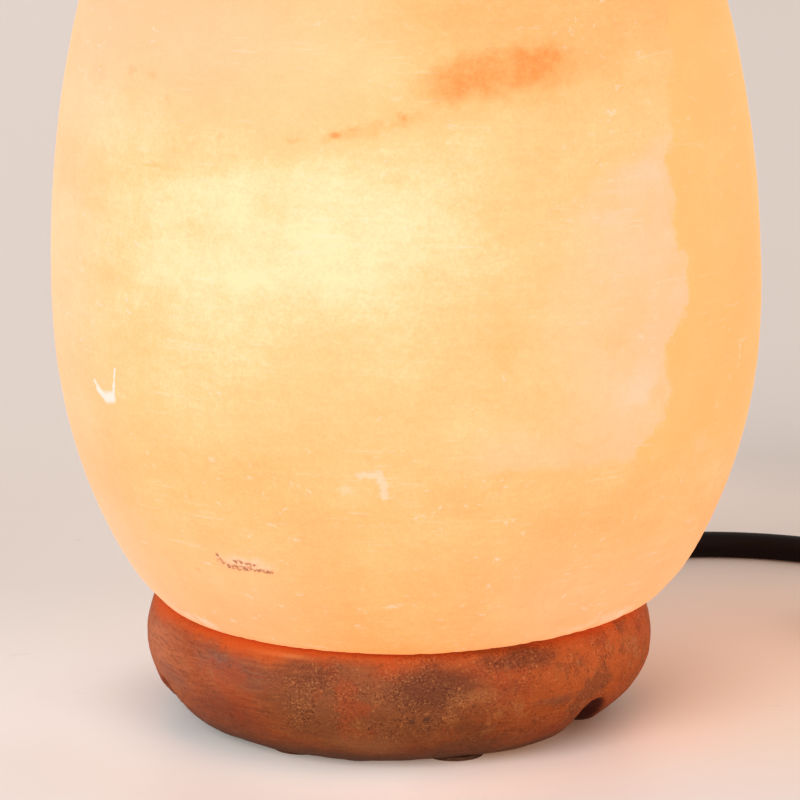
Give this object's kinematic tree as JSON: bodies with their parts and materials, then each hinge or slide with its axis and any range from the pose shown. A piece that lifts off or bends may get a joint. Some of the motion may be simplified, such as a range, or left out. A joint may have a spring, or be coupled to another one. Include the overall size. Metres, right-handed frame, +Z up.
{
  "type": "salt crystal lamp",
  "caption": "Egg-shaped rock salt crystal on a round wooden foot, lit from inside by a screw-in bulb, with a mains cord, an inline rocker switch and a plug.",
  "frame": {"origin": "on the table top, in the middle of the wooden foot, on the axis that the foot, the bore, the lamp holder and the bulb share", "axes": "+Z up along the bulb's axis; -Y is the front that the picture shows; +X is the picture's right, where the cord, the switch and the plug lie"},
  "size_m": [0.3052, 0.2188, 0.2227],
  "materials": {
    "salt_crystal": "satin",
    "wooden_base": "matte",
    "base_pads": "matte",
    "base_screws": "satin",
    "screw_plugs": "matte",
    "holder_plate": "satin",
    "spring_clip": "satin",
    "holder_nipple": "satin",
    "holder_nut": "satin",
    "socket_base": "satin",
    "socket_skirt": "satin",
    "cord_grip": "matte",
    "terminal_blocks": "satin",
    "terminal_screws": "satin",
    "socket_wires": "satin",
    "side_contact": "satin",
    "contact_seat": "satin",
    "contact_spring": "satin",
    "centre_contact": "satin",
    "bulb_cap": "satin",
    "bulb_insulator": "gloss",
    "bulb_contact": "satin",
    "bulb_glass": "polished",
    "bulb_stem": "polished",
    "bulb_supports": "satin",
    "bulb_filament": "satin",
    "cord": "satin",
    "coil_tie": "matte",
    "switch_lower_shell": "satin",
    "switch_upper_shell": "satin",
    "switch_rocker": "satin",
    "rocker_bridge": "satin",
    "rocker_pin": "satin",
    "switch_boots": "satin",
    "switch_clamps": "matte",
    "switch_contacts": "satin",
    "switch_wires": "satin",
    "switch_screws": "satin",
    "plug_body": "satin",
    "plug_pins": "polished",
    "plug_sleeves": "matte"
  },
  "bodies": {
    "lamp": {"salt_crystal": "salt_crystal", "wooden_base": "wooden_base", "base_pads": "base_pads", "base_screws": "base_screws", "screw_plugs": "screw_plugs", "holder_plate": "holder_plate", "spring_clip": "spring_clip", "holder_nipple": "holder_nipple", "holder_nut": "holder_nut", "socket_base": "socket_base", "socket_skirt": "socket_skirt", "cord_grip": "cord_grip", "terminal_blocks": "terminal_blocks", "terminal_screws": "terminal_screws", "socket_wires": "socket_wires", "side_contact": "side_contact", "contact_seat": "contact_seat", "contact_spring": "contact_spring", "cord_in_base": "cord", "cord_coil": "cord", "coil_tie": "coil_tie", "switch_lower_shell": "switch_lower_shell", "switch_upper_shell": "switch_upper_shell", "rocker_pin": "rocker_pin", "switch_boots": "switch_boots", "cord_in_switch": "cord", "switch_clamps": "switch_clamps", "switch_contacts": "switch_contacts", "switch_wires": "switch_wires", "switch_screws": "switch_screws", "plug_body": "plug_body", "plug_pins": "plug_pins", "plug_sleeves": "plug_sleeves", "cord_to_switch": "cord", "cord_to_coil": "cord", "cord_to_plug": "cord"},
    "contact": {"centre_contact": "centre_contact"},
    "bulb": {"bulb_cap": "bulb_cap", "bulb_insulator": "bulb_insulator", "bulb_contact": "bulb_contact", "bulb_glass": "bulb_glass", "bulb_stem": "bulb_stem", "bulb_supports": "bulb_supports", "bulb_filament": "bulb_filament"},
    "rocker": {"switch_rocker": "switch_rocker", "rocker_bridge": "rocker_bridge"}
  },
  "joints": [
    {"name": "contact_travel", "type": "slide", "parent": "lamp", "child": "contact", "axis": [0, 0, 1], "range_m": [0, 0.00282], "deforming": ["contact_spring"]},
    {"name": "bulb_turn", "type": "hinge", "parent": "contact", "child": "bulb", "pos_m": [0, 0, 0.0425], "axis": [0, 0, 1], "range_deg": [0, 360]},
    {"name": "rocker_tilt", "type": "hinge", "parent": "lamp", "child": "rocker", "pos_m": [0.224, 0.0075, 0.013], "axis": [1, 0, 0], "range_deg": [0, 16]}
  ],
  "couplings": [
    {"joint": "contact_travel", "follows": "bulb_turn", "m_per_rad": 0.00044882}
  ]
}
